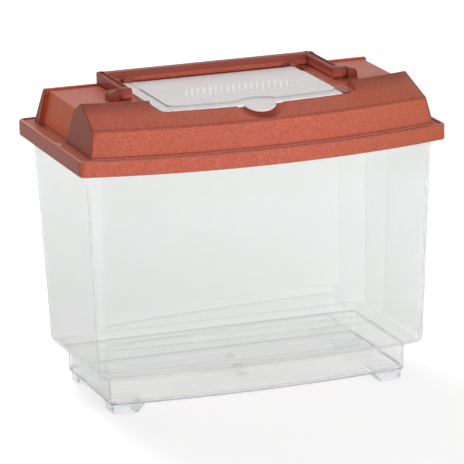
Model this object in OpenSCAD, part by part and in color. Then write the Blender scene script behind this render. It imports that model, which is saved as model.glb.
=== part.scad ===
// Plastic pet keeper: a clear tub, a coloured lid that lifts off, a clear
// feeding hatch hinged in the lid and a carrying handle that folds down round
// the hatch. Millimetres, +Z up. The origin is on the floor, in the middle of
// the skirt's width and depth. The front is at -Y and bulges towards it.

/* [Lid skirt] */
// Width over the skirt
lid_w = 360; // [330:1:390]
// Depth over the skirt, at the middle of the bowed front
lid_d = 225.8; // [216:0.2:240]
// How far the front bulges out at the middle, over the skirt's width
front_bow = 26.6; // [20:0.2:30]
// Height of the skirt
skirt_h = 14.9; // [12:0.1:18]
// Radius of the skirt's corners
skirt_r = 8; // [6:0.5:12]
// Wall of the lid moulding
lid_wall = 2.2; // [1.8:0.1:2.8]
// Width of the raised rim round the ledge
rim_w = 3; // [2.4:0.2:4]
// Depth of the ledge below that rim
rim_drop = 1.2; // [0.6:0.1:1.8]

/* [Lid body] */
// Height of the decks above the skirt's top
deck_h = 33; // [30:0.5:36]
// Height of the front ridge's crest above the skirt's top
crest_h = 42; // [40:0.5:45]
// Height of the crease between the front's two facets above the skirt's top
crease_h = 24.7; // [22:0.1:27]
// Setback of the front ridge's foot from the skirt's front
foot_in = 7.4; // [6:0.1:9]
// Setback of the crease
crease_in = 14.3; // [12:0.1:17]
// Setback of the crest
crest_in = 57.6; // [54:0.1:60]
// Setback of the ridge's rear edge at deck level
ridge_back_in = 71.6; // [68:0.1:76]
// Setback of the ridge's rear edge at its foot
ridge_foot_in = 80.6; // [78:0.1:86]
// Radius along the crest
crest_r = 3; // [2:0.5:6]
// Radius along the crease
crease_r = 4; // [2:0.5:8]
// Setback of the ridges' end faces from the skirt's side, at the ledge
end_in = 11; // [10:0.5:13]
// Draft of the end faces, degrees
end_draft = 10.5; // [8:0.5:12]
// How far the end walls between the ridges stand back
panel_in = 3.2; // [2:0.1:4]
// Setback of the back wall's foot from the skirt's back
back_in = 19.6; // [18:0.2:22]
// Setback of the back wall's top edge
back_top_in = 32.6; // [30:0.2:34]
// Width of the low back ridge on top
back_ridge_w = 7; // [6:0.5:9]
// Height of the back ridge above the decks
back_ridge_h = 1.4; // [1:0.1:2]
// Radius along the back wall's top edge
back_r = 4; // [3:0.5:5]

/* [Lid vents and grips] */
// Width of one vent slot in the back wall
vent_w = 2.6; // [2:0.1:3]
// Pitch of the vent slots in the back wall
vent_pitch = 6; // [5.6:0.1:8]
// Height of the vent slots
vent_h = 16; // [10:0.5:20]
// Number of vent slots on each side of the handle
vent_n = 6; // [3:1:7]
// Length of the half-moon window in each end ledge
window_l = 19; // [14:0.5:24]
// Width of the half-moon window
window_w = 4.4; // [3:0.1:5]
// Setback of the windows from the middle of the depth, towards the front
window_y = 3; // [0:0.5:12]
// Length of the grip bead inside the skirt below each window
bead_l = 16; // [12:0.5:22]

/* [Hatch] */
// Gap between the hatch and each of the handle's arms
arm_gap = 6; // [4.5:0.5:8.5]
// Thickness of the hatch
hatch_t = 2.2; // [1.8:0.1:2.6]
// Distance of the hinge axis from the skirt's back
hinge_in = 45.6; // [44:0.2:48]
// Distance from the hinge axis to the hatch's back edge
hinge_back = 5; // [4.6:0.2:6]
// Height of the hatch's raised panel above its flange
panel_h = 1.4; // [0.8:0.1:1.8]
// Width of the flange at the sides of the raised panel
flange_w = 11.5; // [10:0.5:14]
// Width of the flange in front of the raised panel
flange_front = 13; // [11:0.5:15]
// Width of the flange behind the raised panel
flange_back = 25; // [20:0.5:30]
// Width of the lip in front of the hatch, where the facet is cut
lip_w = 1.2; // [1:0.1:2]
// Drop of that lip below the top of the hatch
lip_drop = 1; // [0.5:0.1:1.5]
// Gap in the front ridge beyond each end of the hatch
gap_side = 5; // [3:0.5:5.5]
// Running gap round the hatch
hatch_gap = 0.5; // [0.3:0.1:0.8]
// Width of the seat that the hatch's edges lie on
seat_w = 10; // [9:0.5:12]
// Radius of the hatch's corners
hatch_r = 8; // [5:0.5:9]
// Radius of the thumb tongue's end
tongue_r = 17; // [15:0.5:18]
// Thickness of the thumb tongue
tongue_t = 1.6; // [1.4:0.1:1.8]
// Radius of the panel's cut-out round the thumb tongue
grip_r = 23; // [20:0.5:26]
// Reach of the thumb tongue past the hatch's front edge
tongue_l = 11; // [9:0.5:13]
// Depth of the thumb scoop under the tongue
scoop_depth = 6; // [5.6:0.1:6.5]
// Radius of the thumb scoop where it meets the facet
scoop_r = 24; // [22:0.5:26]
// Number of ribs on the hatch's panel
rib_n = 18; // [10:1:19]
// Pitch of the ribs
rib_pitch = 5.9; // [5.6:0.1:6.4]
// Width of one rib
rib_w = 2.8; // [2:0.1:3.2]
// Height of the ribs over the panel
rib_h = 0.9; // [0.5:0.1:1.2]
// Length of the ribs
rib_l = 32; // [24:0.5:36]
// Slant of the ribs, degrees
rib_slant = 19; // [0:1:22]
// Distance from the hinge axis to the middle of the ribs
rib_in = 77; // [72:0.5:80]
// Radius of the hatch's hinge pins
hinge_pin_r = 1.7; // [1.4:0.1:2]
// Length of the hatch's hinge pins
hinge_pin_l = 6; // [5:0.5:7]
// Distance from the hatch's side to the outer end of each hinge knuckle
hinge_side = 14.5; // [12.5:0.5:18.5]

/* [Handle] */
// Width over the handle's arms
handle_w = 219; // [214:0.5:222]
// Thickness of each arm, across the lid
arm_w = 9; // [8:0.1:9.6]
// Height of the handle's section
handle_h = 10.8; // [10:0.1:12]
// Depth of the grip bar
bar_d = 12; // [10:0.5:14]
// Distance from the pivot to the grip bar's middle
handle_reach = 75; // [73:0.5:77]
// Distance of the grip bar's middle from the skirt's back
bar_in = 34.6; // [33:0.2:36]
// Radius of the handle's long edges
handle_r = 2; // [1:0.1:3]
// Radius of the handle's pivot pins
pivot_r = 2.4; // [2.1:0.1:2.7]
// Length of the handle's pivot pins
pivot_l = 5; // [4:0.5:5.5]
// Width of the groove along the arms' tops
groove_w = 4.8; // [3:0.1:5]
// Depth of that groove
groove_d = 1.8; // [1:0.1:2.2]
// Width of the channel under the grip bar
channel_w = 6; // [5:0.5:7]
// Depth of that channel
channel_d = 5; // [4:0.5:6]
// Number of cross ribs in the channel
channel_ribs = 7; // [3:1:9]
// Depth of the lugs that hold the handle's pivots, along the lid
lug_d = 14; // [13:0.5:18]
// Width of the lugs, with their sloping outer end
lug_w = 10; // [9.5:0.5:12]
// How far the bosses at the arms' ends stand out beside the arms
boss_out = 4; // [2:0.5:5]

/* [Tub] */
// Height of the skirt's bottom edge above the floor
skirt_z = 239.1; // [200:0.1:260]
// Wall of the tub moulding
tub_wall = 2.2; // [1.8:0.1:2.8]
// Setback of the tub's wall from the skirt, at the rim
wall_in = 9.4; // [9:0.1:10.4]
// How much the tub narrows on each side, from rim to shoulder
wall_taper = 8.3; // [6:0.1:10]
// Radius of the tub's wall corners
wall_r = 12; // [10:0.5:16]
// Height of the shoulder's lower crease above the floor
shoulder_z = 33; // [28:0.5:38]
// Height of the shoulder
shoulder_h = 5.5; // [4:0.5:8]
// How far the base stands in from the walls at the ends
shoulder_in = 13.2; // [11:0.1:15]
// How far the base stands in from the front's corners
shoulder_front = 17; // [14:0.5:20]
// How far the base stands in from the back wall
shoulder_back = 12; // [10:0.5:15]
// Radius of the bend from wall to shoulder
shoulder_r = 4.5; // [3:0.5:5]
// How far the front bulges out at the wall's bottom
low_bow = 16; // [12:0.5:20]
// Radius of the base's corners
base_r = 7; // [6:0.5:10]
// How far the base's front bulges out
base_bow = 11.2; // [9:0.1:14]
// Inset of the base from crease to floor, on each side
base_taper = 1.4; // [0.8:0.1:2]
// Height of the feet
foot_h = 9.3; // [7:0.1:12]
// Thickness of the floor
floor_t = 3; // [2.4:0.1:4]
// Length of one foot along the width, at its top
foot_l = 34; // [28:0.5:40]
// Length of one foot along the depth, at its top
foot_d = 30; // [26:0.5:34]
// How much a foot narrows towards its bottom
foot_taper = 8; // [5:0.5:9]
// Wall of the hollow feet
foot_wall = 2.6; // [2.2:0.1:3]
// Thickness of the flange round the rim
rim_t = 2.4; // [2:0.1:3]

// Draft of each foot's outer faces
foot_draft = 0.8; // [0.2:0.1:2]
// Radius of the moulding gate's stub on the floor
gate_r = 3; // [2:0.5:5]
// Height of that stub
gate_h = 0.8; // [0.4:0.1:1.5]
// How far behind the middle the stub stands
gate_y = 9; // [0:1:20]

/* [Fits] */
// Gap between the folded handle and the deck that stops it
handle_gap = 0.3; // [0.2:0.1:0.5]
// Play between the tub's rim flange and the lid's skirt
skirt_gap = 1.6; // [1.2:0.1:2]
// Play between the grip beads and the rim flange
bead_gap = 0.3; // [0.2:0.1:0.5]
// Radial play of the hinge and pivot pins in their holes
pin_play = 0.08; // [0.05:0.01:0.1]
// Play at the ends of the pins and beside the arms
side_play = 0.6; // [0.4:0.1:0.8]

/* [Hidden] */

terracotta = [0.76, 0.34, 0.25];
clear_tub = [0.87, 0.91, 0.92, 0.4];
clear_hatch = [0.90, 0.90, 0.89, 0.55];

cut = 5;                // how far a cutter runs past the faces that it opens
weld = 1;               // how far a piece runs into the wall that it grows from
edge_r = 1.2;           // soft edge of the skirt and the tub's floor
round_n = 5;            // chords in a rounded corner of a section
corner_n = 7;           // chords in a corner of a plan
front_n = 22;           // chords in the bowed front of a plan
$fn = 48;

// Heights
skirt_top = skirt_z + skirt_h;
ledge_z = skirt_top - rim_drop;
seat_z = ledge_z - lid_wall;            // underside of the ledge, which the tub's rim carries
deck_z = skirt_top + deck_h;
crease_z = skirt_top + crease_h;
crest_z = skirt_top + crest_h;
back_ridge_z = deck_z + back_ridge_h;
hatch_z = deck_z + hatch_t;             // top of the hatch's flange
lip_z = hatch_z - lip_drop;             // top of the lip before it

// The bowed front is one arc about an upright axis far behind the keeper
function bow_radius(half, bow) = (half * half + bow * bow) / (2 * bow);
front_r = bow_radius(lid_w / 2, front_bow);
front_y = front_r - lid_d / 2;          // where that axis stands
back_y = lid_d / 2;

// The front's upper facet, from crease to crest
facet_slope = (crest_z - crease_z) / (crest_in - crease_in);
facet_tilt = atan(facet_slope);
lip_in = crest_in - (crest_z - lip_z) / facet_slope;

// The hatch's plan and its hinge
hatch_w = handle_w - 2 * (arm_w + arm_gap);
hinge_x = hatch_w / 2 - hinge_side;
hatch_in = lip_in + lip_w;              // setback of the hatch's front edge
hinge_y = back_y - hinge_in;
hatch_back_y = hinge_y - hinge_back;
barrel_r = hinge_pin_r + 1;
hinge_z = deck_z + barrel_r + 0.4;

// The handle, folded down on the deck
bar_y = back_y - bar_in;
pivot_y = bar_y - handle_reach;
handle_z = deck_z + handle_gap;
pivot_z = handle_z + handle_h / 2;
boss_x = handle_w / 2 + boss_out;

// ---- Points and outlines ---------------------------------------------------

function unit(v) = v / norm(v);
function left_of(v) = [-v[1], v[0]];
function wrapped(pts, i) = pts[(i + len(pts)) % len(pts)];

// A counter-clockwise outline with every edge moved in by t
function inset(pts, t) = [
    for (i = [0:len(pts) - 1])
        let (a = left_of(unit(pts[i] - wrapped(pts, i - 1))),
             b = left_of(unit(wrapped(pts, i + 1) - pts[i])))
        pts[i] + t * (a + b) / (1 + a * b)
];

// The arc that rounds corner p, between neighbours a and b, with radius r
function corner(a, p, b, r) =
    let (to_a = unit(a - p),
         to_b = unit(b - p),
         half = acos(to_a * to_b) / 2,
         c = p + unit(to_a + to_b) * r / sin(half),
         first = p + to_a * r / tan(half) - c,
         start = atan2(first[1], first[0]),
         turn = 180 - 2 * half)
    [for (k = [0:round_n]) c + r * [cos(start + turn * k / round_n), sin(start + turn * k / round_n)]];

// A convex counter-clockwise outline with corner i rounded by radii[i]
function rounded(pts, radii) = [
    for (i = [0:len(pts) - 1])
        each radii[i] > 0.3
            ? corner(wrapped(pts, i - 1), pts[i], wrapped(pts, i + 1), radii[i])
            : [pts[i]]
];

// A section's outside (t = 0), or its inside behind a wall of t
function wall_line(pts, radii, t) = rounded(inset(pts, t), [for (r = radii) max(r - t, 0)]);

function rectangle(x0, x1, y0, y1) = [[x0, y0], [x1, y0], [x1, y1], [x0, y1]];

// A plan with straight sides and back, and for its front an arc of radius ar
// about (0, ay). All four corners have radius r.
function plan(half, back, ay, ar, r) =
    let (cx = half - r,
         cy = ay - sqrt((ar - r) * (ar - r) - cx * cx),
         side = atan2(cy - ay, cx))
    concat(
        [for (k = [0:corner_n]) let (a = side * (1 - k / corner_n)) [cx, cy] + r * [cos(a), sin(a)]],
        [for (k = [0:corner_n]) let (a = 90 * k / corner_n) [cx, back - r] + r * [cos(a), sin(a)]],
        [for (k = [0:corner_n]) let (a = 90 + 90 * k / corner_n) [-cx, back - r] + r * [cos(a), sin(a)]],
        [for (k = [0:corner_n]) let (a = 180 - side * k / corner_n) [-cx, cy] + r * [cos(a), sin(a)]],
        [for (k = [1:front_n - 1])
            let (a = -180 - side + (180 + 2 * side) * k / front_n)
            [0, ay] + ar * [cos(a), sin(a)]]);

// The skirt's plan, set in by u all round
function lid_plan(u, r) = plan(lid_w / 2 - u, back_y - u, front_y, front_r - u, r);

// The hatch's plan, made smaller by u all round, or larger where u is negative
function hatch_plan(u) =
    plan(hatch_w / 2 - u, hatch_back_y - u, front_y, front_r - hatch_in - u, hatch_r);

function at_height(pts, z) = [for (p = pts) [p[0], p[1], z]];

// ---- Ways to make a solid --------------------------------------------------

// A skin through rings of equally many points, closed at the first and last
module loft(rings) {
    n = len(rings[0]);
    m = len(rings);
    sides = [
        for (j = [0:m - 2], i = [0:n - 1])
            let (k = (i + 1) % n, low = j * n, high = (j + 1) * n)
            each [[low + k, low + i, high + i], [low + k, high + i, high + k]]
    ];
    bottom = [for (i = [0:n - 1]) i];
    top = [for (i = [0:n - 1]) m * n - 1 - i];
    polyhedron(points = [for (ring = rings) each ring], faces = concat([bottom], sides, [top]));
}

module slab(pts, low, high) {
    translate([0, 0, low])
        linear_extrude(high - low)
            polygon(pts);
}

// A section drawn as [setback from the skirt's front, height], swept along the bow
module along_front(section) {
    half_angle = asin(lid_w / 2 / (front_r - ridge_foot_in)) + 2;
    translate([0, front_y, 0])
        rotate([0, 0, -90 - half_angle])
            rotate_extrude(angle = 2 * half_angle, $fn = 720)
                polygon([for (p = section) [front_r - p[0], p[1]]]);
}

// A section drawn as [y, height], run across from x0 to x1
module across(section, x0, x1) {
    rotate([90, 0, 90])
        translate([0, 0, x0])
            linear_extrude(x1 - x0)
                polygon(section);
}

// A section drawn as [x, height], run back from y0 to y1
module front_to_back(section, y0, y1) {
    translate([0, y1, 0])
        rotate([90, 0, 0])
            linear_extrude(y1 - y0)
                polygon(section);
}

module rod(x0, x1, y, z, r) {
    translate([x0, y, z])
        rotate([0, 90, 0])
            cylinder(h = x1 - x0, r = r);
}

module both_sides() {
    children();
    mirror([1, 0, 0])
        children();
}

// ---- Lid -------------------------------------------------------------------

// The wedge between the drafted end planes, which are half apart at the ledge
module between_ends(half) {
    lean = tan(end_draft);
    low = seat_z - 2 * cut;
    high = crest_z + cut;
    front_to_back([
        [-half - lean * (ledge_z - low), low],
        [half + lean * (ledge_z - low), low],
        [half - lean * (high - ledge_z), high],
        [-half + lean * (high - ledge_z), high]], -lid_d, lid_d);
}

// The raised body: its outside where t is 0, its inside behind a wall of t.
// It is a bowed ridge in front, a low ridge behind and a deck between them.
module lid_body(t) {
    low = t > 0 ? seat_z - cut : ledge_z - weld;
    ridge_half = lid_w / 2 - end_in - t / cos(end_draft);
    deck_front_y = (crest_in + ridge_back_in) / 2 - lid_d / 2;
    front_ridge = [
        [ridge_foot_in, low],
        [ridge_foot_in, ledge_z],
        [ridge_back_in, deck_z],
        [crest_in, crest_z],
        [crease_in, crease_z],
        [foot_in, ledge_z],
        [foot_in, low]];
    back_ridge = [
        [back_y - back_in, low],
        [back_y - back_in, ledge_z],
        [back_y - back_top_in, back_ridge_z],
        [back_y - back_top_in - back_ridge_w, back_ridge_z],
        [back_y - back_in - 2 * back_ridge_w, low]];
    deck = rectangle(deck_front_y, back_y - back_top_in - back_ridge_w / 2, low, deck_z - t);
    intersection() {
        along_front(wall_line(front_ridge, [0, 0, 0, crest_r, crease_r, 0, 0], t));
        between_ends(ridge_half);
    }
    intersection() {
        across(wall_line(back_ridge, [0, 0, back_r, 0, 0], t), -lid_w / 2, lid_w / 2);
        between_ends(ridge_half);
    }
    intersection() {
        across(deck, -lid_w / 2, lid_w / 2);
        between_ends(ridge_half - panel_in);
    }
}

// The gap in the front ridge that lets the hatch lie down, grown by t
module ridge_gap(t) {
    slab(
        plan(hatch_w / 2 + gap_side + t, hatch_back_y + t, front_y, front_r - lip_in + t, hatch_r),
        lip_z - t, crest_z + cut);
}

// The gap in the back ridge that lets the folded handle down on the deck
module handle_gap_cut() {
    half = handle_w / 2 + side_play;
    translate([-half, bar_y - bar_d, deck_z])
        cube([2 * half, 2 * bar_d, back_ridge_h + cut]);
}

// The thumb scoop under the hatch's tongue: a dish in the facet, grown by t
module scoop(t) {
    ball_r = (scoop_r * scoop_r + scoop_depth * scoop_depth) / (2 * scoop_depth);
    rise = ball_r - scoop_depth;
    translate([
        0,
        lip_in - rise * sin(facet_tilt) - lid_d / 2,
        lip_z + rise * cos(facet_tilt)])
        sphere(r = ball_r + t, $fn = 96);
}

// The hollow under the lid's raised body
module lid_cavity() {
    difference() {
        lid_body(lid_wall);
        ridge_gap(lid_wall + hatch_t);
        scoop(lid_wall);
    }
}

// The skirt, its raised rim and the ledge inside it
module skirt() {
    function ring(u, z) = at_height(lid_plan(u, skirt_r - u), z);
    lip_r = min(edge_r, rim_w / 2);
    loft(concat(
        [ring(lid_wall, seat_z), ring(lid_wall, skirt_z), ring(lid_wall / 4, skirt_z)],
        [ring(0, skirt_z + lid_wall / 4), ring(0, skirt_top - lip_r)],
        [for (a = [30, 60, 90]) ring(lip_r * (1 - cos(a)), skirt_top - lip_r * (1 - sin(a)))],
        [ring(rim_w, skirt_top), ring(rim_w, ledge_z)]));
}

// The block that takes the handle's pivot pin, rounded over and sloping down outwards
module pivot_lug() {
    x0 = boss_x + side_play;
    top = pivot_z + pivot_r + 2.6;
    block = rectangle(pivot_y - lug_d / 2, pivot_y + lug_d / 2, deck_z - weld, top);
    intersection() {
        across(rounded(block, [0, 0, lug_d / 3, lug_d / 3]), x0, x0 + lug_w);
        front_to_back(
            rounded([
                [x0, deck_z - 2 * weld],
                [x0 + lug_w, deck_z - 2 * weld],
                [x0 + lug_w - 1, top - 2.2],
                [x0, top]],
                [0, 0, 3, 0]),
            pivot_y - lug_d, pivot_y + lug_d);
    }
}

// The ear that takes the hatch's hinge pin
module hinge_ear() {
    x0 = hinge_x + side_play;
    x1 = x0 + hinge_pin_l + 1;
    rod(x0, x1, hinge_y, hinge_z, barrel_r + 0.6);
    across(rectangle(hinge_y - barrel_r - 0.6, hinge_y + barrel_r + 0.6, deck_z - weld, hinge_z), x0, x1);
}

// The slots through the back wall's top edge, beside the handle
module back_vents() {
    first = handle_w / 2 + vent_pitch;
    both_sides()
        for (i = [0:vent_n - 1])
            translate([first + i * vent_pitch, back_y - back_top_in - 1, back_ridge_z - vent_h])
                cube([vent_w, back_top_in, vent_h + cut]);
}

// The half-moon window in each end ledge
module ledge_windows() {
    r = (window_l * window_l / 4 + window_w * window_w) / (2 * window_w);
    x1 = lid_w / 2 - rim_w - 0.4;
    both_sides()
        intersection() {
            translate([x1 - window_w + r, -window_y, seat_z - cut])
                cylinder(h = 2 * cut + lid_wall, r = r);
            translate([x1 - window_w - 1, -window_y - window_l, seat_z - cut])
                cube([window_w + 1, 2 * window_l, 2 * cut + lid_wall]);
        }
}

// The bead inside each end of the skirt that brushes past the tub's rim
module grip_beads() {
    both_sides()
        translate([lid_w / 2 - lid_wall, -window_y - bead_l / 2, seat_z - rim_t - skirt_gap])
            rotate([-90, 0, 0])
                cylinder(h = bead_l, r = skirt_gap - bead_gap);
}

// The rib that stiffens the edge of the hatch's opening, under the deck
module opening_rib() {
    difference() {
        slab(hatch_plan(seat_w - lid_wall), deck_z - 3 * lid_wall, deck_z - lid_wall / 2);
        slab(hatch_plan(seat_w), deck_z - 3 * lid_wall - cut, deck_z + cut);
    }
}

module lid() {
    color(terracotta) {
        difference() {
            union() {
                skirt();
                lid_body(0);
                both_sides() {
                    pivot_lug();
                    hinge_ear();
                }
            }
            lid_cavity();
            ridge_gap(0);
            handle_gap_cut();
            scoop(0);
            slab(hatch_plan(-hatch_gap), deck_z, crest_z + cut);
            slab(hatch_plan(seat_w), deck_z - 3 * lid_wall, crest_z + cut);
            back_vents();
            ledge_windows();
            both_sides() {
                rod(boss_x, boss_x + pivot_l + side_play, pivot_y, pivot_z, pivot_r + pin_play);
                rod(hinge_x, hinge_x + hinge_pin_l + 2 * cut, hinge_y, hinge_z, hinge_pin_r + pin_play);
            }
        }
        opening_rib();
        grip_beads();
    }
}

// ---- Hatch -----------------------------------------------------------------

// The thumb tongue, which follows the front facet down over the scoop
module tongue() {
    drop = (tongue_l + weld) * facet_slope;
    intersection() {
        along_front([
            [hatch_in + weld, hatch_z - tongue_t],
            [hatch_in + weld, hatch_z],
            [hatch_in, hatch_z],
            [hatch_in - tongue_l - weld, hatch_z - drop],
            [hatch_in - tongue_l - weld, hatch_z - drop - tongue_t],
            [hatch_in, hatch_z - tongue_t]]);
        translate([0, hatch_in - tongue_l + tongue_r - lid_d / 2, hatch_z - 2 * cut])
            cylinder(h = 3 * cut, r = tongue_r, $fn = 96);
    }
}

// The raised panel's plan, grown by t, with its cut-out round the tongue
module raised_panel(low, high, t) {
    difference() {
        slab(
            plan(
                hatch_w / 2 - flange_w + t,
                hatch_back_y - flange_back + t,
                front_y,
                front_r - hatch_in - flange_front + t,
                hatch_r + t),
            low,
            high);
        translate([0, hatch_in - lid_d / 2, low - 1])
            cylinder(h = high - low + 2, r = grip_r - t, $fn = 96);
    }
}

// The slanted ribs on the panel, each the top of a rod sunk in it
module panel_ribs() {
    r = (rib_w * rib_w / 4 + rib_h * rib_h) / (2 * rib_h);
    for (i = [0:rib_n - 1])
        translate([
            (i - (rib_n - 1) / 2) * rib_pitch,
            hinge_y - rib_in,
            hatch_z + panel_h + rib_h - r])
            rotate([90, 0, -rib_slant])
                cylinder(h = rib_l, r = r, center = true);
}

module hatch() {
    arm = 2 * barrel_r;
    color(clear_hatch)
        difference() {
            union() {
                slab(hatch_plan(0), deck_z, hatch_z);
                raised_panel(hatch_z - 0.5, hatch_z + panel_h, 0);
                panel_ribs();
                tongue();
                both_sides() {
                    rod(hinge_x - arm, hinge_x, hinge_y, hinge_z, barrel_r);
                    across(
                        [[hatch_back_y - weld, deck_z],
                         [hinge_y, hinge_z - barrel_r],
                         [hinge_y, hinge_z + barrel_r],
                         [hatch_back_y - weld, hatch_z]],
                        hinge_x - arm, hinge_x);
                    rod(hinge_x - weld, hinge_x + hinge_pin_l, hinge_y, hinge_z, hinge_pin_r);
                }
            }
            raised_panel(deck_z - cut, deck_z + panel_h, -hatch_t / 2);
        }
}

// ---- Handle ----------------------------------------------------------------

// A rounded section of the handle, from a to b and from its underside up
function handle_section(a, b) =
    rounded(rectangle(a, b, handle_z, handle_z + handle_h), [for (i = [0:3]) handle_r]);

module handle_arm() {
    x1 = handle_w / 2;
    x0 = x1 - arm_w;
    end_r = handle_h / 2;
    front_to_back(handle_section(x0, x1), pivot_y, bar_y);
    rod(x0, boss_x, pivot_y, pivot_z, end_r);
    rod(boss_x - weld, boss_x + pivot_l, pivot_y, pivot_z, pivot_r);
}

// The channel under the grip bar, crossed by ribs
module bar_channel() {
    length = handle_w - 4 * arm_w;
    pitch = length / (channel_ribs + 1);
    translate([-length / 2, bar_y - channel_w / 2, handle_z - cut])
        difference() {
            cube([length, channel_w, channel_d + cut]);
            for (i = [1:channel_ribs])
                translate([i * pitch - 0.8, -1, 0])
                    cube([1.6, channel_w + 2, channel_d + 2 * cut]);
        }
}

module handle() {
    bar_back_y = bar_y + bar_d / 2;
    corner_r = arm_w / 2;
    groove_x = handle_w / 2 - arm_w / 2 - groove_w / 2;
    color(terracotta)
        difference() {
            union() {
                intersection() {
                    union() {
                        across(handle_section(bar_y - bar_d / 2, bar_back_y), -handle_w / 2, handle_w / 2);
                        both_sides()
                            front_to_back(handle_section(handle_w / 2 - arm_w, handle_w / 2), bar_y, bar_back_y);
                    }
                    slab(
                        rounded(
                            rectangle(-handle_w / 2, handle_w / 2, bar_y - bar_d, bar_back_y),
                            [0, 0, corner_r, corner_r]),
                        handle_z - cut, handle_z + handle_h + cut);
                }
                both_sides()
                    handle_arm();
            }
            both_sides()
                translate([groove_x, pivot_y + handle_h / 2, handle_z + handle_h - groove_d])
                    cube([groove_w, handle_reach, cut]);
            bar_channel();
        }
}

// ---- Tub -------------------------------------------------------------------

wall_half = lid_w / 2 - wall_in;        // outside of the walls at the rim
wall_back_y = back_y - wall_in;
wall_front_r = front_r - wall_in;       // the rim's front is concentric with the lid's
rim_bow = wall_front_r - sqrt(wall_front_r * wall_front_r - wall_half * wall_half);
wall_corner_y = wall_in - lid_d / 2 + rim_bow;
shoulder_top = shoulder_z + shoulder_h;
shoulder_slope = atan(shoulder_h / (shoulder_in - shoulder_r));
base_half = wall_half - wall_taper - shoulder_in;
base_back_y = wall_back_y - wall_taper - shoulder_back;
base_front_y = wall_corner_y + wall_taper + shoulder_front;
floor_top = foot_h + floor_t;

// A plan given by its front corners and the bulge of its front between them
function bulged(half, back, front, bow, r) =
    let (ar = bow_radius(half, bow))
    plan(half, back, front - bow + ar, ar, r);

// A ring of the walls, from the shoulder at k = 0 to the rim at k = 1, t inside the outer face
function wall_ring(k, t, z) =
    let (u = wall_taper * (1 - k) + t)
    at_height(
        bulged(
            wall_half - u,
            wall_back_y - u,
            wall_corner_y + u,
            low_bow + (rim_bow - low_bow) * k,
            wall_r - t),
        z);

// A ring of the shoulder and base, from the walls at s = 0 to the base at s = 1
function base_ring(s, t, z) =
    let (u = wall_taper + t)
    at_height(
        bulged(
            wall_half - u - shoulder_in * s,
            wall_back_y - u - shoulder_back * s,
            wall_corner_y + u + shoulder_front * s,
            low_bow + (base_bow - low_bow) * s,
            wall_r + (base_r - wall_r) * s - t),
        z);

// A ring of the bend from wall (a = 0) to shoulder (a = 90)
function bend_ring(a, t) =
    base_ring(
        shoulder_r * (1 - cos(a)) / shoulder_in,
        t * cos(a),
        shoulder_top + shoulder_r - (shoulder_r - t) * sin(a));

// A ring of the flange round the rim, which reaches out almost to the skirt
function flange_ring(u, z) =
    let (v = lid_wall + skirt_gap + u)
    at_height(lid_plan(v, skirt_r - v), z);

module tub_shell() {
    soft = rim_t / 4;
    inner_crease_z = shoulder_z + tub_wall * tan(45 - shoulder_slope / 2);
    loft(concat(
        [base_ring(1, base_taper + edge_r, foot_h), base_ring(1, base_taper, foot_h + edge_r)],
        [base_ring(1, 0, shoulder_z)],
        [for (a = [90, 60, 30, 0]) bend_ring(a, 0)],
        [wall_ring(1, 0, seat_z - rim_t)],
        [flange_ring(0, seat_z - rim_t), flange_ring(0, seat_z - soft), flange_ring(soft, seat_z)],
        [wall_ring(1, tub_wall, seat_z)],
        [for (a = [0, 30, 60, 90]) bend_ring(a, tub_wall)],
        [base_ring(1, tub_wall, inner_crease_z)],
        [base_ring(1, base_taper + tub_wall, floor_top + edge_r)],
        [base_ring(1, base_taper + tub_wall + edge_r, floor_top)]));
}

// The four corner feet, or with t the hollows left under the floor behind walls of t
module feet(t) {
    low = t > 0 ? -cut : 0;
    high = t > 0 ? foot_h : foot_h + weld;
    lean = foot_taper / foot_h;
    x0 = base_half - base_taper - foot_l + t;
    front_y = base_front_y + base_taper + foot_d - t;
    rear_y = base_back_y - base_taper - foot_d + t;
    intersection() {
        both_sides()
            front_to_back([
                [x0 + lean * (foot_h - low), low],
                [base_half, low],
                [base_half, high],
                [x0 + lean * (foot_h - high), high]], -lid_d, lid_d);
        union() {
            across([
                [-lid_d / 2, low],
                [front_y - lean * (foot_h - low), low],
                [front_y - lean * (foot_h - high), high],
                [-lid_d / 2, high]], -base_half, base_half);
            across([
                [rear_y + lean * (foot_h - low), low],
                [back_y, low],
                [back_y, high],
                [rear_y + lean * (foot_h - high), high]], -base_half, base_half);
        }
        loft([
            base_ring(1, base_taper + edge_r + foot_draft + t, min(low, 0)),
            base_ring(1, base_taper + edge_r + t, high)]);
    }
}

module tub() {
    color(clear_tub)
        difference() {
            union() {
                tub_shell();
                feet(0);
                translate([0, gate_y, floor_top - weld])
                    cylinder(h = weld + gate_h, r1 = gate_r + weld, r2 = gate_r);
            }
            feet(foot_wall);
        }
}

tub();
lid();
hatch();
handle();
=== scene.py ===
import functools
import math

import bmesh
import bpy
import numpy as np
from mathutils import Matrix, Vector


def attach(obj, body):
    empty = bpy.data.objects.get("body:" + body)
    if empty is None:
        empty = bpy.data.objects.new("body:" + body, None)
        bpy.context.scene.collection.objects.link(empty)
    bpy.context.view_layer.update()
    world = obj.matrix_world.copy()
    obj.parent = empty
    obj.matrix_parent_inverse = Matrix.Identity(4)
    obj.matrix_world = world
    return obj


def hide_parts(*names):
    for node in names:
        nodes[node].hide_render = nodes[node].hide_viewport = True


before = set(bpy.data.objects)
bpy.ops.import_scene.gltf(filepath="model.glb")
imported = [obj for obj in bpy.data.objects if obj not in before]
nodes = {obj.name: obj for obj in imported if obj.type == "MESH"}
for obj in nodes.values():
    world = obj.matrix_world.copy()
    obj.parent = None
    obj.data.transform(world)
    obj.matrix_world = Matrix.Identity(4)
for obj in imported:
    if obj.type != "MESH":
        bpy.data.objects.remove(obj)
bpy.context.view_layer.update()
scene = bpy.context.scene


# ---- Camera -------------------------------------------------------------
# A long lens, 19 degrees round to the keeper's left, 14.5 degrees down and
# rolled a little. All lengths are in metres, but for the lens and sensor.

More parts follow.
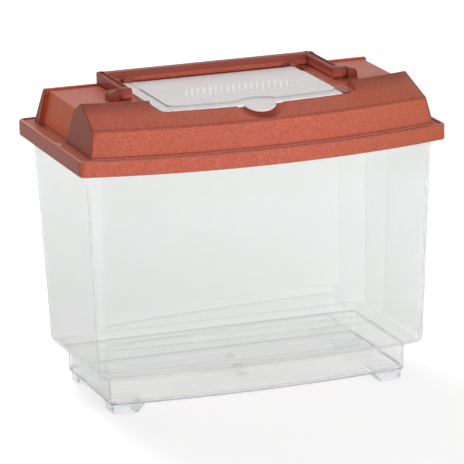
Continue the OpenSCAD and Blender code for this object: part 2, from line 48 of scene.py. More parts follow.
yaw, pitch, roll = math.radians(19.28), math.radians(14.51), math.radians(-1.50)
stand_x, stand_y, stand_z = -1.2388, -3.5264, 1.1160
forward = Vector((
    math.cos(pitch) * math.sin(yaw),
    math.cos(pitch) * math.cos(yaw),
    -math.sin(pitch)))
level = Vector((math.cos(yaw), -math.sin(yaw), 0.0))
upright = level.cross(forward)
right = level * math.cos(roll) + upright * math.sin(roll)
up = upright * math.cos(roll) - level * math.sin(roll)

camera = bpy.data.cameras.new("camera")
camera.lens = 315.68
camera.sensor_width = 36.0
camera.clip_end = 50.0
camera_object = bpy.data.objects.new("camera", camera)
scene.collection.objects.link(camera_object)
camera_object.matrix_world = Matrix((
    (right.x, up.x, -forward.x, stand_x),
    (right.y, up.y, -forward.y, stand_y),
    (right.z, up.z, -forward.z, stand_z),
    (0, 0, 0, 1)))
scene.camera = camera_object
scene.view_settings.view_transform = "Standard"


# ---- Light --------------------------------------------------------------
# A white studio: bright low down all round, dark overhead and at the
# keeper's left end, with a large soft light in front and one behind.

white = (1.0, 1.0, 1.0)
world = bpy.data.worlds.new("studio")
world.use_nodes = True
scene.world = world
sky, sky_links = world.node_tree.nodes, world.node_tree.links
direction = sky.new("ShaderNodeTexCoord")
sky_axes = sky.new("ShaderNodeSeparateXYZ")
sky_links.new(direction.outputs["Generated"], sky_axes.inputs["Vector"])


def sky_fade(axis, low, high, at_low, at_high):
    """Goes smoothly from at_low, where the direction's axis is low, to at_high, where it's high."""
    fade = sky.new("ShaderNodeMapRange")
    fade.interpolation_type = "SMOOTHSTEP"
    sky_links.new(sky_axes.outputs[axis], fade.inputs["Value"])
    for socket, value in (
            ("From Min", low), ("From Max", high), ("To Min", at_low), ("To Max", at_high)):
        fade.inputs[socket].default_value = value
    return fade.outputs["Result"]


# It falls to 0.30 overhead and to 0.58 at the left.
brightness = sky.new("ShaderNodeMath")
brightness.operation = "MULTIPLY"
sky_links.new(sky_fade("Z", 0.15, 0.75, 0.90, 0.30), brightness.inputs[0])
sky_links.new(sky_fade("X", -0.95, 0.10, 0.58, 1.0), brightness.inputs[1])

# Seen straight or through clear plastic, the sky is plain white. A Mix
# node's sockets share their names, so they go by number here and below.
ray = sky.new("ShaderNodeLightPath")
seen = sky.new("ShaderNodeMath")
seen.operation = "MAXIMUM"
sky_links.new(ray.outputs["Is Camera Ray"], seen.inputs[0])
sky_links.new(ray.outputs["Is Transmission Ray"], seen.inputs[1])
strength = sky.new("ShaderNodeMix")
strength.inputs[3].default_value = 1.0
sky_links.new(seen.outputs["Value"], strength.inputs[0])
sky_links.new(brightness.outputs["Value"], strength.inputs[2])
sky_links.new(strength.outputs[0], sky["Background"].inputs["Strength"])
sky["Background"].inputs["Color"].default_value = (*white, 1)


def soft_light(name, size, watts, place, aim):
    """A square lamp that lights the keeper but shows in none of its reflections."""
    light = bpy.data.lights.new(name, "AREA")
    light.shape = "SQUARE"
    light.size = size
    light.energy = watts
    lamp = bpy.data.objects.new(name, light)
    scene.collection.objects.link(lamp)
    lamp.location = place
    lamp.visible_glossy = False
    lamp.visible_transmission = False
    lamp.rotation_euler = (Vector(aim) - Vector(place)).to_track_quat("-Z", "Y").to_euler()


soft_light("front_light", 1.4, 41, (0.2, -2.4, 0.5), (0, 0, 0.22))
soft_light("back_light", 1.0, 42, (-0.3, 2.0, 1.5), (0, 0, 0.25))


# ---- Tub ----------------------------------------------------------------
# The tank itself, one clear injection moulding: walls that taper down from
# a flanged rim, a bowed front, a shoulder, a narrower base and four feet
# that are hollow from below. The gate left a small stub on the floor.

# The walls' outer faces at the rim, their fall inwards to the shoulder, and
# how far the front bulges at the rim, at the shoulder and at the base.
wall_half, wall_back, wall_front = 0.1706, 0.1035, -0.0793
taper, wall_t = 0.0083, 0.0022
rim_bow, low_bow, base_bow = 0.0242, 0.016, 0.0112
corner_r, base_corner_less = 0.012, 0.005

# The shoulder's step inwards, its bend, and the crease where the base starts.
shoulder_side, shoulder_front, shoulder_back = 0.0132, 0.017, 0.012
shoulder_top, bend_r, crease_z = 0.0385, 0.0045, 0.033
crease_soft, crease_in = 0.0012, 0.0004
inner_crease_soft, inner_crease_in = 0.0006, 0.0003

# The floor, the base's draft and the roundings at the floor's edge.
floor_under, floor_top = 0.0093, 0.0123
base_draft, edge_r, fillet_r = 0.0014, 0.0012, 0.0015

# The flange round the rim.
rim_z, flange_t, lip_drop = 0.2506, 0.0024, 0.001
flange_half, flange_back, flange_front = 0.1762, 0.1091, -0.0825
flange_bow, flange_r = 0.0266, 0.0042
rim_chamfer, lip_chamfer = 0.0006, 0.0004

# The feet: faces at the floor, walls, drafts, corners and overlap with it.
foot_outer, foot_inner = 0.1463, 0.1137
rear_foot, front_foot = (0.0804, 0.0518), (-0.0514, -0.0226)
foot_wall, foot_soft, foot_draft, foot_slope = 0.0026, 0.0005, 0.0008, 0.008
foot_corner, foot_outer_corner, foot_least_corner = 0.002, 0.0058, 0.0004
front_foot_skew, foot_sunk, hollow_roof = 0.0044, 0.001, 0.0002

# The gate's stub, as (radius, height above the floor).
gate_y, gate_sides = 0.009, 24
gate_profile = (
    (0.0052, -0.001), (0.0052, 0.0), (0.0048, 0.0016), (0.0042, 0.0022),
    (0.0028, 0.0022), (0.0022, 0.0016), (0.0020, 0.0006))

# How many rings round off an edge, the bend and the walls.
edge_n, bend_n, wall_n = 5, 7, 12

# Where painted shade, painted light and painted dark refraction lines go: bands of
# height, and how far out or back.
edge_line, end_line, end_line_out = (0.0094, 0.0108), (0.0093, 0.0116), 0.1425
fillet_line, crease_line, lines_front = (0.0124, 0.0133), (0.0326, 0.0334), -0.045
back_line, back_line_y = (0.0133, 0.0332), 0.0775
lid_shade_fade, base_light_fade = (0.195, rim_z), (0.030, 0.046)
gate_shade_r, gate_shade_low = 0.0060, floor_under + 0.001
flange_light_out, flange_light_span, flange_light_low = 0.1718, (-0.016, 0.010), 0.2496

# Tints across the walls, deepened towards the left as painted shade, and the tints laid over them:
# painted shade under the lid, painted light on the base, painted shade at its back and painted dark
# refraction lines.
end_wall_tint, left_tint = (0.775, 0.80, 0.785), (0.685, 0.70, 0.69)
middle_tint, flow_tint = (0.73, 0.745, 0.735), (0.68, 0.70, 0.69)
right_tint, right_wall_tint = (0.76, 0.775, 0.765), (0.84, 0.86, 0.85)
lid_shade_tint, base_light_tint = (0.60, 0.60, 0.585), (0.95, 0.955, 0.95)
back_shade_tint, foot_tint = (0.70, 0.72, 0.70), (0.86, 0.895, 0.895)
edge_refraction_tint, end_refraction_tint = (0.24, 0.26, 0.40), (0.05, 0.06, 0.13)
fold_refraction_tint, flange_light_white = (0.30, 0.31, 0.31), (0.95, 0.95, 0.94)


class Finish:
    """A plastic's node material, worked out from the piece's own Object coordinates."""

    def __init__(self, name):
        self.material = bpy.data.materials.new(name)
        self.material.use_nodes = True
        self.tree = self.material.node_tree.nodes
        self.links = self.material.node_tree.links
        self.surface = self.tree["Principled BSDF"]
        self.place = self.tree.new("ShaderNodeTexCoord").outputs["Object"]
        axes = self.tree.new("ShaderNodeSeparateXYZ")
        self.links.new(self.place, axes.inputs["Vector"])
        self.x, self.y, self.z = axes.outputs["X"], axes.outputs["Y"], axes.outputs["Z"]
        self.out = self.maths("ABSOLUTE", self.x)  # the distance out from the middle

    def feed(self, value, socket):
        """Links a socket's value, or sets a number or a colour on the socket itself."""
        if isinstance(value, tuple):
            colour = len(value) == 3 and socket.type == "RGBA"
            socket.default_value = (*value, 1) if colour else value
        elif isinstance(value, (int, float)):
            socket.default_value = value
        else:
            self.links.new(value, socket)

    def shade(self, **values):
        """Sets the shader's own sockets, with spaces written as underscores."""
        for name, value in values.items():
            self.feed(value, self.surface.inputs[name.replace("_", " ")])

    def noise(self, scale, detail, roughness, stretch=(1.0, 1.0, 1.0)):
        """Noise from 0 to 1, of the scale per metre, drawn out along an axis where stretch < 1."""
        mapping = self.tree.new("ShaderNodeMapping")
        self.links.new(self.place, mapping.inputs["Vector"])
        mapping.inputs["Scale"].default_value = stretch
        node = self.tree.new("ShaderNodeTexNoise")
        self.links.new(mapping.outputs["Vector"], node.inputs["Vector"])
        for socket, value in (("Scale", scale), ("Detail", detail), ("Roughness", roughness)):
            node.inputs[socket].default_value = value
        return node.outputs["Fac"]

    def maths(self, operation, *values):
        """One step of arithmetic on sockets and numbers."""
        node = self.tree.new("ShaderNodeMath")
        node.operation = operation
        for value, socket in zip(values, node.inputs):
            self.feed(value, socket)
        return node.outputs["Value"]

    def both(self, *values):
        """The product of all the values: of masks, where every one of them is 1."""
        return functools.reduce(functools.partial(self.maths, "MULTIPLY"), values)

    def either(self, *values):
        """The greatest of the values: of masks, where any one of them is 1."""
        return functools.reduce(functools.partial(self.maths, "MAXIMUM"), values)

    def above(self, value, limit):
        """1 where the value is over the limit, and 0 elsewhere."""
        return self.maths("GREATER_THAN", value, limit)

    def below(self, value, limit):
        """1 where the value is under the limit, and 0 elsewhere."""
        return self.maths("LESS_THAN", value, limit)

    def between(self, value, band):
        """1 where the value lies inside the band of (low, high), and 0 elsewhere."""
        low, high = band
        return self.both(self.above(value, low), self.below(value, high))

    def disc(self, x, centre_x, centre_y, radius):
        """1 within the radius of the centre, seen from above. Two discs, if x is out."""
        across = self.maths("POWER", self.maths("SUBTRACT", x, centre_x), 2.0)
        along = self.maths("POWER", self.maths("SUBTRACT", self.y, centre_y), 2.0)
        return self.below(self.maths("ADD", across, along), radius ** 2)

    def span(self, value, low, high, at_low, at_high):
        """Goes straight from at_low, where the value is low, to at_high, where it is high."""
        node = self.tree.new("ShaderNodeMapRange")
        for socket, number in (
                ("From Min", low), ("From Max", high), ("To Min", at_low), ("To Max", at_high)):
            node.inputs[socket].default_value = number
        self.links.new(value, node.inputs["Value"])
        return node.outputs["Result"]

    def shades(self, value, *stops):
        """A colour that changes with the value, through stops of (value, (red, green, blue))."""
        node = self.tree.new("ShaderNodeValToRGB")
        while len(node.color_ramp.elements) < len(stops):
            node.color_ramp.elements.new(0.5)
        for element, (position, colour) in zip(node.color_ramp.elements, stops):
            element.position = position
            element.color = (*colour, 1)
        self.links.new(value, node.inputs["Fac"])
        return node.outputs["Color"]

    def coated(self, colour, *coats):
        """The colour under coats of (share of cover, paint), the last one on top."""
        for share, paint in coats:
            node = self.tree.new("ShaderNodeMix")
            node.data_type = "RGBA"
            self.feed(share, node.inputs[0])
            self.feed(colour, node.inputs[6])
            self.feed(paint, node.inputs[7])
            colour = node.outputs[2]
        return colour

    def bump(self, height, strength, depth):
        """Makes the surface uneven by the height, up to the depth."""
        node = self.tree.new("ShaderNodeBump")
        node.inputs["Strength"].default_value = strength
        node.inputs["Distance"].default_value = depth
        self.links.new(height, node.inputs["Height"])
        self.links.new(node.outputs["Normal"], self.surface.inputs["Normal"])


def tub_clear():
    """Clear plastic with slow flow marks in its tint and surface, and fine scuffs in its gloss.

    Painted shade deepens the tint towards the left and towards the rim, under the lid, and
    painted light makes the base paler, but for its back, which has painted shade. Painted dark
    refraction lines run round the floor's underside edge, blue-grey and almost black at the
    ends, and finer grey ones run along the fold under the shoulder, the fillet round the floor
    and round the gate's stub. Under the lid's two windows, the flange's edge is painted white,
    as light seen through them.
    """
    clear = Finish("tub_plastic")
    y, z, both, either = clear.y, clear.z, clear.both, clear.either
    # Where the painted dark refraction lines go: round the floor's edge and its ends, along the
    # folds and round the gate's stub.
    edge = clear.between(z, edge_line)
    ends = both(clear.between(z, end_line), clear.above(clear.out, end_line_out))
    folds = either(clear.between(z, fillet_line), clear.between(z, crease_line))
    folds = both(folds, clear.above(y, lines_front))
    stub = both(clear.disc(clear.x, 0.0, gate_y, gate_shade_r), clear.above(z, gate_shade_low))
    # Where the base's back gets painted shade.
    back = both(clear.above(y, back_line_y), clear.between(z, back_line))
    foot = clear.below(z, floor_under - hollow_roof / 2)
    # Where the flange's edge is painted white, as light seen through the lid's windows.
    milk_white = both(clear.above(clear.out, flange_light_out), clear.between(y, flange_light_span),
                   clear.above(z, flange_light_low))
    flow = clear.noise(9.0, 2.0, 0.5, (1.0, 1.0, 0.4))
    scuff = clear.noise(260.0, 4.0, 0.7, (1.0, 1.0, 0.25))
    # Painted shade deepens the tint towards the left. The end walls are paler.
    across = clear.span(clear.x, -wall_half, wall_half, 0.0, 1.0)
    colour = clear.shades(
        across, (0.025, end_wall_tint), (0.05, left_tint), (0.5, middle_tint),
        (0.85, right_tint), (0.98, right_wall_tint))
    colour = clear.coated(
        colour,
        (clear.span(flow, 0.3, 0.7, 0.3, 0.0), flow_tint),
        # Painted shade under the lid.
        (clear.span(z, *lid_shade_fade, 0.0, 0.6), lid_shade_tint),
        # Painted light on the base.
        (clear.span(z, *base_light_fade, 1.0, 0.0), base_light_tint),
        # Painted shade at the base's back.
        (back, back_shade_tint),
        (foot, foot_tint),
        # Painted dark refraction lines at the folds, round the gate's stub and round the floor's
        # edge.
        (folds, fold_refraction_tint),
        (both(stub, 0.8), fold_refraction_tint),
        (edge, edge_refraction_tint),
        (both(ends, 0.8), end_refraction_tint),
        # Painted light on the flange's edge.
        (milk_white, flange_light_white))
    density = either(edge, ends, folds, stub, both(either(foot, back), 0.3))
    clear.shade(
        Base_Color=colour,
        Alpha=either(clear.span(density, 0.0, 1.0, 0.55, 0.85), milk_white),
        Roughness=clear.span(scuff, 0.45, 0.8, 0.015, 0.12),
        Transmission_Weight=clear.maths("SUBTRACT", 1.0, milk_white),
        IOR=1.22,
        Coat_Weight=0.5, Coat_IOR=1.5, Coat_Roughness=0.04)
    clear.bump(flow, 0.03, 0.001)
    return clear.material


def plan(half, back, front, bow, r, corner_n=14, front_n=72, side_n=10, back_n=20):
    """Counter-clockwise plan: straight sides and back, a front that bulges by bow, round corners.

    The front arc has radius (half^2 + bow^2) / 2 bow. A corner has radius r, and the front
    corners' centres lie r inside that arc.
    """
    arc_r = (half * half + bow * bow) / (2 * bow)
    arc_y = front - bow + arc_r
    cx = half - r
    cy = arc_y - math.sqrt((arc_r - r) ** 2 - cx * cx)
    side = math.atan2(cy - arc_y, cx)

    def turn(x, y, start, stop):
        a = np.linspace(start, stop, corner_n + 1)
        return np.column_stack([x + r * np.cos(a), y + r * np.sin(a)])

    def line(p, q, n):
        t = np.linspace(0, 1, n + 2)[1:-1, None]
        return np.asarray(p) * (1 - t) + np.asarray(q) * t

    front_right = turn(cx, cy, side, 0)
    back_right = turn(cx, back - r, 0, math.pi / 2)
    back_left = turn(-cx, back - r, math.pi / 2, math.pi)
    front_left = turn(-cx, cy, math.pi, math.pi - side)
    a = np.linspace(-math.pi - side, side, front_n + 1)[1:-1]
    front_arc = np.column_stack([arc_r * np.cos(a), arc_y + arc_r * np.sin(a)])
    return np.vstack([
        front_right, line(front_right[-1], back_right[0], side_n), back_right,
        line(back_right[-1], back_left[0], back_n), back_left,
        line(back_left[-1], front_left[0], side_n), front_left, front_arc])


def at_height(outline, z):
    """The plan outline as points in space at height z."""
    return np.column_stack([outline, np.full(len(outline), z)])


def wall_ring(k, t, z):
    """Walls, k = 0 at the shoulder to 1 at the rim, t inside the outer face.

    They taper in by (1 - k) taper.
    """
    u = taper * (1 - k) + t
    bow = low_bow + (rim_bow - low_bow) * k
    return at_height(plan(wall_half - u, wall_back - u, wall_front + u, bow, corner_r - t), z)


def base_ring(s, t, z):
    """Shoulder and base, s = 0 at the walls to 1 at the base, t inside the outer face."""
    u = taper + t
    return at_height(
        plan(
            wall_half - u - shoulder_side * s,
            wall_back - u - shoulder_back * s,
            wall_front + u + shoulder_front * s,
            low_bow + (base_bow - low_bow) * s,
            corner_r - base_corner_less * s - t),
        z)


def bend_ring(a, t):
    """The bend into the shoulder, a quarter circle of radius bend_r, or bend_r - t inside."""
    return base_ring(
        bend_r * (1 - math.cos(a)) / shoulder_side,
        t * math.cos(a),
        shoulder_top + bend_r - (bend_r - t) * math.sin(a))


def flange_ring(u, z):
    """The flange's outline, u inside its outer face."""
    return at_height(
        plan(flange_half - u, flange_back - u, flange_front + u, flange_bow, flange_r - u), z)


def tub_rings():
    """Up the outside from the floor's underside, over the rim, and down the inside to the floor."""
    quarter = np.linspace(math.pi / 2, 0, bend_n)
    edge = np.linspace(0, math.pi / 2, edge_n)
    rise = np.linspace(0, 1, wall_n + 1)
    bend_top = shoulder_top + bend_r
    outer_top, inner_top = rim_z - flange_t, rim_z - lip_drop
    rings = [
        base_ring(
            1,
            base_draft + edge_r * (1 - math.sin(a)),
            floor_under + edge_r * (1 - math.cos(a)))
        for a in edge]
    rings += [base_ring(1, crease_in, crease_z - crease_soft), base_ring(1, 0.0, crease_z)]
    rings += [bend_ring(a, 0) for a in quarter]
    rings += [wall_ring(k, 0, bend_top + (outer_top - bend_top) * k) for k in rise[1:]]
    rings += [
        flange_ring(0, outer_top),
        flange_ring(0, rim_z - rim_chamfer),
        flange_ring(rim_chamfer, rim_z),
        wall_ring(1, wall_t + lip_chamfer, rim_z),
        wall_ring(1, wall_t, rim_z - lip_chamfer)]
    rings += [wall_ring(k, wall_t, bend_top + (inner_top - bend_top) * k) for k in rise[-2::-1]]
    rings += [bend_ring(a, wall_t) for a in quarter[::-1]]
    rings += [
        base_ring(1, wall_t, crease_z + crease_soft),
        base_ring(1, wall_t + inner_crease_in, crease_z - inner_crease_soft)]
    rings += [
        base_ring(
            1,
            base_draft + wall_t + fillet_r * (1 - math.cos(a)),
            floor_top + fillet_r * (1 - math.sin(a)))
        for a in edge]
    return rings


def rounded_outline(points, radii, n=6):
    """Convex counter-clockwise outline, with corner i rounded by radii[i].

    A corner's centre lies on its bisector, radius / sin(half its angle) from the corner.
    """
    points = np.asarray(points, float)
    radii = np.asarray(radii)[:, None]
    before, after = np.roll(points, 1, axis=0) - points, np.roll(points, -1, axis=0) - points
    before /= np.linalg.norm(before, axis=1, keepdims=True)
    after /= np.linalg.norm(after, axis=1, keepdims=True)
    half = np.arccos(np.sum(before * after, axis=1, keepdims=True)) / 2
    middle = before + after
    middle /= np.linalg.norm(middle, axis=1, keepdims=True)
    centre = points + middle * radii / np.sin(half)
    first = points + before * radii / np.tan(half) - centre
    a = np.arctan2(first[:, 1:], first[:, :1]) + (math.pi - 2 * half) * np.arange(n + 1) / n
    x, y = centre[:, :1] + radii * np.cos(a), centre[:, 1:] + radii * np.sin(a)
    return np.stack([x, y], axis=-1).reshape(-1, 2)


def foot_rings(side, rear):
    """A tapered pad, hollow from below, whose outer corner follows the base's corner."""
    def outline(z, t):
        fall = 1 - z / floor_under
        out, inwards = foot_draft * fall + t, foot_slope * fall + t
        x_out, x_in = foot_outer - out, foot_inner + inwards
        if rear:
            y_out, y_in = rear_foot[0] - out, rear_foot[1] + inwards
            corners = [(x_in, y_in), (x_out, y_in), (x_out, y_out), (x_in, y_out)]
            radii = [foot_corner, foot_corner, foot_outer_corner, foot_corner]
        else:
            y_out, y_in = front_foot[0] + out, front_foot[1] - inwards
            corners = [(x_in, y_out - front_foot_skew), (x_out, y_out), (x_out, y_in), (x_in, y_in)]
            radii = [foot_corner, foot_outer_corner, foot_corner, foot_corner]
        ring = rounded_outline(corners, [max(r - t, foot_least_corner) for r in radii])
        if side < 0:
            ring = ring[::-1] * np.array([-1, 1])
        return at_height(ring, z)

    middle = floor_under * 0.5
    return [
        outline(floor_under + foot_sunk, 0), outline(middle, 0),
        outline(foot_soft, 0), outline(0, foot_soft),
        outline(0, foot_wall - foot_soft), outline(foot_soft, foot_wall),
        outline(middle, foot_wall), outline(floor_under - hollow_roof, foot_wall)]


def gate_rings():
    """A round stub with a dimple."""
    a = np.linspace(0, 2 * math.pi, gate_sides + 1)[:-1]
    return [
        at_height(np.column_stack([r * np.cos(a), gate_y + r * np.sin(a)]), floor_top + height)
        for r, height in gate_profile]


def lofted(name, rings):
    """A closed piece: faces join each ring to the next, and close the first and the last."""
    count = len(rings[0])
    here = np.arange(count)
    beside = (here + 1) % count
    start = np.arange(len(rings) - 1)[:, None] * count
    quads = np.stack(
        [start + here, start + beside, start + count + beside, start + count + here], axis=-1)
    ends = [here[::-1].tolist(), (here + (len(rings) - 1) * count).tolist()]
    mesh = bpy.data.meshes.new(name)
    mesh.from_pydata(np.vstack(rings).tolist(), [], quads.reshape(-1, 4).tolist() + ends)
    piece = bpy.data.objects.new(name, mesh)
    scene.collection.objects.link(piece)
    clean_skin(piece)
    return piece


def clean_skin(piece, least=0.000002):
    """Merges points closer than the least length, drops slivers and turns all faces outwards."""
    work = bmesh.new()
    work.from_mesh(piece.data)
    bmesh.ops.remove_doubles(work, verts=work.verts, dist=least)
    bmesh.ops.dissolve_degenerate(work, edges=work.edges, dist=least)
    bmesh.ops.recalc_face_normals(work, faces=work.faces)
    work.to_mesh(piece.data)
    work.free()
    piece.data.validate()


def mould_together(piece, others):
    """Joins closed pieces to one skin, and removes the others."""
    for other in others:
        join = piece.modifiers.new("join", "BOOLEAN")
        join.operation = "UNION"
        join.solver = "EXACT"
        join.object = other
    bpy.context.view_layer.update()
    evaluated = piece.evaluated_get(bpy.context.evaluated_depsgraph_get())
    whole = bpy.data.meshes.new_from_object(evaluated)
    piece.modifiers.clear()
    piece.data = whole
    for other in others:
        bpy.data.objects.remove(other)
    clean_skin(piece)


def dress(piece, material):
    """Gives the piece the one material."""
    piece.data.materials.clear()
    piece.data.materials.append(material)


tub = lofted("tub_shell", tub_rings())
tub_extras = [
    lofted("foot", foot_rings(side, rear)) for side in (-1, 1) for rear in (False, True)]
tub_extras.append(lofted("gate_stub", gate_rings()))
mould_together(tub, tub_extras)
tub.data.shade_smooth()
tub.data.set_sharp_from_angle(angle=math.radians(30))
dress(tub, tub_clear())
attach(tub, "tub")
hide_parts("tub")


# ---- Lid ----------------------------------------------------------------
# One terracotta injection moulding that drops over the tub's rim: a skirt,
# a front ridge of two facets, a deck round the hatch opening and a low
# back ridge. Its edges are barely rounded, as a mould leaves them.

# Terracotta tones, and colours laid over them. The end, crest, lug, ledge, foot and skirt browns
# are painted shade, the recess orange is a painted glow, the rim pink is a painted highlight and
# the window white is painted light.
terracotta_dark, terracotta_mid = (0.375, 0.074, 0.043), (0.565, 0.137, 0.086)
terracotta_light, terracotta_streak = (0.730, 0.235, 0.162), (0.49, 0.104, 0.060)
end_shade_brown, right_brown = (0.28, 0.048, 0.012), (0.36, 0.085, 0.030)
recess_glow_orange, crest_shade_brown = (0.70, 0.110, 0.020), (0.26, 0.062, 0.045)
lug_shade_brown, ledge_shade_brown = (0.27, 0.062, 0.040), (0.30, 0.150, 0.115)
rim_highlight_pink, foot_shade_brown = (0.78, 0.36, 0.30), (0.17, 0.036, 0.026)
skirt_shade_brown, window_light_white = (0.30, 0.072, 0.054), (0.88, 0.84, 0.80)

# The ends lean: on them, |x| + z tan(lean) stays the same.
end_lean, ridge_end, recess_wall = math.radians(10.5), 0.2142, (0.2117, 0.2137)
recess_span, recess_heights = (-0.022, 0.077), (0.2545, 0.2868)
skirt_top, ridge_foot, skirt_end_out = 0.2545, 0.2544, 0.1796
ledge_heights, rim_heights = (0.2525, 0.2532), (0.25385, 0.25420)
foot_shade_fade, right_fade = (0.2552, 0.2570), (0.03, 0.16)
crest_shade_fade, crest_waver = (0.2915, 0.2985), 0.008
ridge_crease, ridge_back = (0.2776, 0.2798), -0.045
lug_low, lug_out, lug_span = 0.2876, 0.1125, (-0.0052, 0.0118)
window_across, window_span, window_heights = (0.1720, 0.1772), (-0.0130, 0.0070), (0.2508, 0.2527)
lid_edge_r, lid_sharp = 0.00005, math.radians(40)


def terracotta(name):
    """Spark-eroded plastic: speckled, streaked, finely grained, softly shiny, with light let in.

    Returns the finish, its colour and its streaks, for the piece's darker and lighter places,
    mostly painted shade and light, to be laid over.
    """
    plastic = Finish(name)
    speckle = plastic.noise(820.0, 3.0, 0.65)
    streak = plastic.noise(14.0, 3.0, 0.5, (0.35, 1.0, 1.0))
    colour = plastic.shades(
        speckle, (0.30, terracotta_dark), (0.50, terracotta_mid), (0.72, terracotta_light))
    colour = plastic.coated(
        colour, (plastic.span(streak, 0.35, 0.65, 0.0, 0.35), terracotta_streak))
    plastic.shade(
        Roughness=plastic.span(speckle, 0.3, 0.7, 0.44, 0.34),
        IOR=1.46, Specular_IOR_Level=0.2,
        Subsurface_Weight=0.20, Subsurface_Radius=(0.004, 0.0012, 0.0008), Subsurface_Scale=1.0)
    plastic.bump(plastic.noise(1500.0, 2.0, 0.5), 0.30, 0.0003)
    return plastic, colour, streak


def lid_terracotta():
    """The lid's darker and lighter places, nearly all of them painted shade and light.

    The ridge's end faces are painted brown as shade, and the skirt's ends more lightly. The
    recessed end walls are painted orange as a glow of light let through them, and the right end
    is a little browner than the left. Painted shade darkens the crest above a wavering line, and
    the lugs that hold the handle. The ledge inside the rim and the ridge's foot and crease are
    painted as shade, and the rim's top is painted as a highlight. The half-moon windows' edges
    are painted white, as light seen through them.
    """
    plastic, colour, streak = terracotta("lid_plastic")
    x, y, z, out = plastic.x, plastic.y, plastic.z, plastic.out
    both, above, between, span = plastic.both, plastic.above, plastic.between, plastic.span
    leaning = plastic.maths("ADD", out, both(z, math.tan(end_lean)))
    wavering = plastic.maths("ADD", z, both(streak, crest_waver))
    recess = both(
        between(leaning, recess_wall), between(y, recess_span), between(z, recess_heights))
    crease = both(between(z, ridge_crease), plastic.below(y, ridge_back))
    lugs = both(above(z, lug_low), above(out, lug_out), between(y, lug_span))
    window = both(
        between(out, window_across), between(y, window_span), between(z, window_heights))
    colour = plastic.coated(
        colour,
        # Painted shade on the ridge's end faces.
        (both(above(leaning, ridge_end), above(z, skirt_top), 0.75), end_shade_brown),
        # A painted glow of light let through the recessed end walls.
        (both(recess, 0.8), recess_glow_orange),
        (span(x, *right_fade, 0.0, 0.35), right_brown),
        # Painted shade in the crease, and on the crest above a wavering line.
        (both(crease, 0.4), crest_shade_brown),
        (span(wavering, *crest_shade_fade, 0.0, 0.8), crest_shade_brown),
        # Painted shade on the lugs.
        (lugs, lug_shade_brown),
        # Painted shade on the ledge inside the rim.
        (both(between(z, ledge_heights), 0.45), ledge_shade_brown),
        # A painted highlight on the rim's top.
        (both(between(z, rim_heights), 0.5), rim_highlight_pink),
        # Painted shade at the ridge's foot, fading upwards.
        (both(above(z, ridge_foot), span(z, *foot_shade_fade, 0.6, 0.0)), foot_shade_brown),
        # Painted shade on the skirt's ends.
        (both(above(out, skirt_end_out), 0.3), skirt_shade_brown),
        # Painted light on the half-moon windows' edges.
        (window, window_light_white))
    plastic.shade(Base_Color=colour)
    return plastic.material


def soften(piece, width, sharp):
    """Rounds every edge that turns by more than sharp.

    The width isn't held back beside short edges, so it has to be small enough for them.
    """
    weld = piece.modifiers.new("weld", "WELD")
    weld.merge_threshold = 0.00001
    flat = piece.modifiers.new("whole_faces", "DECIMATE")
    flat.decimate_type = "DISSOLVE"
    flat.angle_limit = math.radians(0.5)
    edge = piece.modifiers.new("soft_edges", "BEVEL")
    edge.width = width
    edge.segments = 2
    edge.limit_method = "ANGLE"
    edge.angle_limit = sharp
    edge.harden_normals = True
    edge.use_clamp_overlap = False


dress(nodes["lid"], lid_terracotta())
soften(nodes["lid"], lid_edge_r, lid_sharp)


# ---- Hatch --------------------------------------------------------------
# The feeding door, one thin milky moulding with a raised panel, slanted
# ribs, a thumb tongue and two knuckles that snap into the lid's ears.

milky_dark, milky_light = (0.805, 0.755, 0.755), (0.855, 0.815, 0.815)
# The step's grey is painted shade along the edges, and the ribs' white is a painted highlight.
bare_tint, step_shade_grey, pin_grey = (0.60, 0.55, 0.55), (0.42, 0.43, 0.46), (0.36, 0.36, 0.40)
tongue_white, rib_highlight_white = (0.93, 0.90, 0.90), (1.0, 0.99, 0.975)

frosted_x, frosted_y = 0.0834, 0.0618
step_heights, groove_across = (0.2893, 0.2904), (0.0832, 0.0842)
left_edge_x, flange_low = -0.0934, 0.2880
tongue_y, rib_low = -0.072, 0.2908
pin_out, pin_ys, pin_r = 0.0755, (-0.029, 0.020), 0.0013
hatch_edge_r, hatch_sharp = 0.00015, math.radians(50)


def hatch_milky():
    """Finely frosted, but for its knuckles and the strip at its right end, which are clear. The
    strip at its left end is frosted too, as a painted pale reflection.

    The step round the panel and the strips' edges have grey lines of painted shade. The tongue
    is paler, and the ribs are painted white as a highlight. Ejector pins left a small round mark
    near each corner.
    """
    milk = Finish("hatch_plastic")
    y, z, both, either, span = milk.y, milk.z, milk.both, milk.either, milk.span
    # The frost reaches over the left strip too, as a painted pale reflection.
    milk_white = both(milk.below(milk.x, frosted_x), milk.below(y, frosted_y))
    cloud = milk.noise(30.0, 3.0, 0.5, (0.4, 1.6, 1.0))
    step = milk.between(z, step_heights)
    groove = milk.between(milk.out, groove_across)
    left_edge = both(milk.below(milk.x, left_edge_x), milk.above(z, flange_low))
    marks = [(both(milk.disc(milk.out, pin_out, pin_y, pin_r), 0.7), pin_grey) for pin_y in pin_ys]
    colour = milk.coated(
        bare_tint,
        (milk_white, milk.shades(cloud, (0.3, milky_dark), (0.7, milky_light))),
        # Painted shade along the step and the strips' edges.
        (both(either(step, groove, left_edge), 0.8), step_shade_grey),
        (both(milk.below(y, tongue_y), 0.5), tongue_white),
        # The ribs are painted white as a highlight.
        (milk.above(z, rib_low), rib_highlight_white),
        *marks)
    grain = both(milk.noise(900.0, 2.0, 0.6), milk_white)
    milk.shade(
        Base_Color=colour,
        Transmission_Weight=span(milk_white, 0.0, 1.0, 0.95, 0.05),
        Alpha=span(milk_white, 0.0, 1.0, 0.2, 1.0),
        Roughness=milk.maths("MULTIPLY_ADD", grain, 0.6, 0.06),
        IOR=1.5,
        Coat_Weight=span(milk_white, 0.0, 1.0, 0.15, 0.0), Coat_IOR=1.5, Coat_Roughness=0.05)
    milk.bump(grain, 0.03, 0.0002)
    return milk.material


dress(nodes["hatch"], hatch_milky())
soften(nodes["hatch"], hatch_edge_r, hatch_sharp)
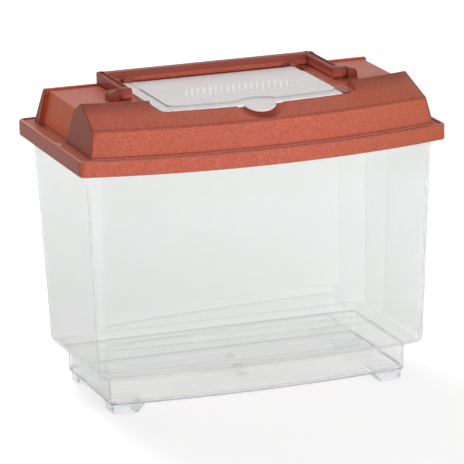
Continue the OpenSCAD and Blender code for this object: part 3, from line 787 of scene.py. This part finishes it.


# ---- Handle -------------------------------------------------------------
# The carrying bail, one terracotta moulding: two grooved arms and a grip
# bar, hollow underneath, that pivots on pins snapped into the lid's lugs.

# The bar's pink is painted light, and the crown's brown is painted shade.
bar_light_pink, crown_shade_brown = (0.80, 0.36, 0.28), (0.25, 0.058, 0.042)
bar_y, boss_out, crown_shade_fade = 0.090, 0.1094, (0.2915, 0.2935)
handle_edge_r, handle_sharp = 0.00002, math.radians(40)


def handle_terracotta():
    """The bar is painted pinker, as light let through its thin skirts, and its crown is painted
    darker, as shade.

    The bosses at the pivots have the crown's painted shade.
    """
    plastic, colour, _ = terracotta("handle_plastic")
    # The bar is painted pinker as light through its skirts, and its crown and the bosses darker as
    # shade.
    bar = plastic.above(plastic.y, bar_y)
    crown = plastic.both(
        plastic.span(plastic.z, *crown_shade_fade, 0.0, 1.0),
        plastic.span(bar, 0.0, 1.0, 0.75, 0.96))
    boss = plastic.both(plastic.above(plastic.out, boss_out), 0.85)
    plastic.shade(Base_Color=plastic.coated(
        colour, (plastic.both(bar, 0.35), bar_light_pink), (plastic.either(crown, boss), crown_shade_brown)))
    return plastic.material


dress(nodes["handle"], handle_terracotta())
soften(nodes["handle"], handle_edge_r, handle_sharp)


# ---- Floor --------------------------------------------------------------
# The pale sheet that the keeper stands on. It shows white to the eye and
# through the clear plastic, and it keeps the keeper's shadow.

sheet_half = 6
sheet_dark, sheet_light = (0.47, 0.47, 0.47), (0.50, 0.50, 0.50)


def floor_paper():
    """Grey paper with a glow that only the eye, clear plastic and a little of the gloss see."""
    paper = Finish("floor")
    path = paper.tree.new("ShaderNodeLightPath")
    plain = paper.either(path.outputs["Is Camera Ray"], path.outputs["Is Transmission Ray"])
    glint = paper.both(path.outputs["Is Glossy Ray"], 0.3)
    cloud = paper.noise(3.0, 2.0, 0.5)
    paper.shade(
        Base_Color=paper.shades(cloud, (0.3, sheet_dark), (0.7, sheet_light)),
        Roughness=0.8,
        Emission_Color=white,
        Emission_Strength=paper.both(paper.either(plain, glint), 0.66))
    return paper.material


sheet_mesh = bpy.data.meshes.new("floor")
sheet_mesh.from_pydata(
    [(x * sheet_half, y * sheet_half, 0) for x, y in ((-1, -1), (1, -1), (1, 1), (-1, 1))],
    [], [(0, 1, 2, 3)])
sheet = bpy.data.objects.new("floor", sheet_mesh)
scene.collection.objects.link(sheet)
dress(sheet, floor_paper())
